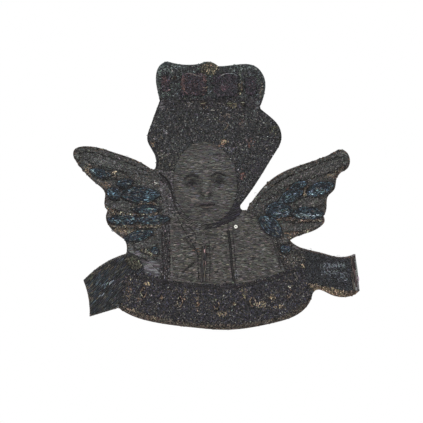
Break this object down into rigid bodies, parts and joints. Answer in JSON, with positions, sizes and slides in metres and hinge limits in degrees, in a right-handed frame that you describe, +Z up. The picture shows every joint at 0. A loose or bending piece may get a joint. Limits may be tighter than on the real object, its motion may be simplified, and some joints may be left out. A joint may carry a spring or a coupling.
{
  "type": "cap badge",
  "caption": "Embroidered cloth badge of a crowned, winged figure above a ribbon, on stiffened felt, with pins and butterfly clutches behind.",
  "frame": {"origin": "on the flat back face of the felt, below the top pin and between the two lower ones, about the middle of the badge", "axes": "+Z up towards the crown, +X to the right as seen from the front, +Y out of the back along the pins; the stitched front looks along -Y"},
  "size_m": [0.06, 0.0112, 0.0562],
  "materials": {
    "felt": "matt wool felt",
    "card": "raw grey board",
    "ground_twill": "fine twill",
    "thread_teal": "speckled rayon thread",
    "thread_olive": "rayon thread with gold glints",
    "thread_red": "satin rayon thread",
    "thread_plum": "satin rayon thread",
    "thread_charcoal": "speckled rayon thread",
    "thread_gold": "metallic thread",
    "thread_face": "rows of rayon thread",
    "thread_dark": "corded rayon thread",
    "thread_mauve": "rows of rayon thread",
    "thread_robe": "rows of rayon thread",
    "thread_brown": "satin rayon thread",
    "thread_pearl": "pearl",
    "thread_grey": "rows of rayon thread",
    "thread_pale_grey": "satin rayon thread",
    "thread_blue": "satin rayon thread",
    "thread_navy": "slanting rayon thread",
    "thread_ribbon": "speckled rayon thread",
    "pin_steel": "plated steel",
    "clutch_brass": "polished brass",
    "spring_brass": "spring brass"
  },
  "bodies": {
    "badge": {"backing_felt": "felt", "stiffener_card": "card", "ground_cloth": "ground_twill", "crown_lobes": "thread_teal", "crown_orb": "thread_olive", "ribbon_curl": "thread_olive", "crown_panels_left": "thread_red", "crown_panels_right": "thread_plum", "collar": "thread_plum", "crown_band": "thread_charcoal", "hair_top": "thread_charcoal", "hair_lock_left": "thread_charcoal", "hair_lock_right": "thread_charcoal", "crown_studs": "thread_gold", "wing_left_gold": "thread_gold", "wing_right_gold": "thread_gold", "ribbon_border": "thread_gold", "ribbon_border_right": "thread_gold", "ribbon_motifs": "thread_gold", "face": "thread_face", "face_brows": "thread_dark", "face_eyes": "thread_dark", "face_nose": "thread_dark", "face_mouth": "thread_dark", "robe_folds": "thread_dark", "mantle": "thread_mauve", "robe_side_band": "thread_mauve", "robe_left": "thread_robe", "robe_right": "thread_robe", "robe_placket": "thread_brown", "wing_left_edge": "thread_brown", "wing_right_edge": "thread_brown", "ribbon_hem_right": "thread_brown", "ribbon_turn": "thread_brown", "robe_beads": "thread_pearl", "wing_left": "thread_grey", "wing_right": "thread_grey", "wing_left_grey": "thread_pale_grey", "wing_right_grey": "thread_pale_grey", "wing_left_blue": "thread_blue", "wing_right_blue": "thread_blue", "ribbon_tail_left": "thread_navy", "ribbon_tail_right": "thread_navy", "ribbon_centre": "thread_ribbon", "post_top": "pin_steel", "post_left": "pin_steel", "post_right": "pin_steel"},
    "clutch_top": {"clutch_top_base": "clutch_brass", "clutch_top_cover": "clutch_brass"},
    "clutch_top_wing_a": {"clutch_top_wing_a": "spring_brass"},
    "clutch_top_wing_b": {"clutch_top_wing_b": "spring_brass"},
    "clutch_left": {"clutch_left_base": "clutch_brass", "clutch_left_cover": "clutch_brass"},
    "clutch_left_wing_a": {"clutch_left_wing_a": "spring_brass"},
    "clutch_left_wing_b": {"clutch_left_wing_b": "spring_brass"},
    "clutch_right": {"clutch_right_base": "clutch_brass", "clutch_right_cover": "clutch_brass"},
    "clutch_right_wing_a": {"clutch_right_wing_a": "spring_brass"},
    "clutch_right_wing_b": {"clutch_right_wing_b": "spring_brass"}
  },
  "joints": [
    {"name": "clutch_top_slide", "type": "slide", "parent": "badge", "child": "clutch_top", "axis": [0, 1, 0], "range_m": [-0.002, 0.016]},
    {"name": "clutch_top_squeeze_a", "type": "hinge", "parent": "clutch_top", "child": "clutch_top_wing_a", "pos_m": [-0.0026, 0.0037, 0.013], "axis": [0, 0, -1], "range_deg": [0, 8], "stiffness_Nm_per_rad": 0.0025},
    {"name": "clutch_top_squeeze_b", "type": "hinge", "parent": "clutch_top", "child": "clutch_top_wing_b", "pos_m": [0.0026, 0.0037, 0.013], "axis": [0, 0, 1], "range_deg": [0, 8], "stiffness_Nm_per_rad": 0.0025},
    {"name": "clutch_left_slide", "type": "slide", "parent": "badge", "child": "clutch_left", "axis": [0, 1, 0], "range_m": [-0.002, 0.016]},
    {"name": "clutch_left_squeeze_a", "type": "hinge", "parent": "clutch_left", "child": "clutch_left_wing_a", "pos_m": [-0.0176, 0.0037, -0.017], "axis": [0, 0, -1], "range_deg": [0, 8], "stiffness_Nm_per_rad": 0.0025},
    {"name": "clutch_left_squeeze_b", "type": "hinge", "parent": "clutch_left", "child": "clutch_left_wing_b", "pos_m": [-0.0124, 0.0037, -0.017], "axis": [0, 0, 1], "range_deg": [0, 8], "stiffness_Nm_per_rad": 0.0025},
    {"name": "clutch_right_slide", "type": "slide", "parent": "badge", "child": "clutch_right", "axis": [0, 1, 0], "range_m": [-0.002, 0.016]},
    {"name": "clutch_right_squeeze_a", "type": "hinge", "parent": "clutch_right", "child": "clutch_right_wing_a", "pos_m": [0.0124, 0.0037, -0.017], "axis": [0, 0, -1], "range_deg": [0, 8], "stiffness_Nm_per_rad": 0.0025},
    {"name": "clutch_right_squeeze_b", "type": "hinge", "parent": "clutch_right", "child": "clutch_right_wing_b", "pos_m": [0.0176, 0.0037, -0.017], "axis": [0, 0, 1], "range_deg": [0, 8], "stiffness_Nm_per_rad": 0.0025}
  ],
  "couplings": [
    {"joint": "clutch_top_squeeze_b", "follows": "clutch_top_squeeze_a", "ratio": 1},
    {"joint": "clutch_left_squeeze_b", "follows": "clutch_left_squeeze_a", "ratio": 1},
    {"joint": "clutch_right_squeeze_b", "follows": "clutch_right_squeeze_a", "ratio": 1}
  ]
}
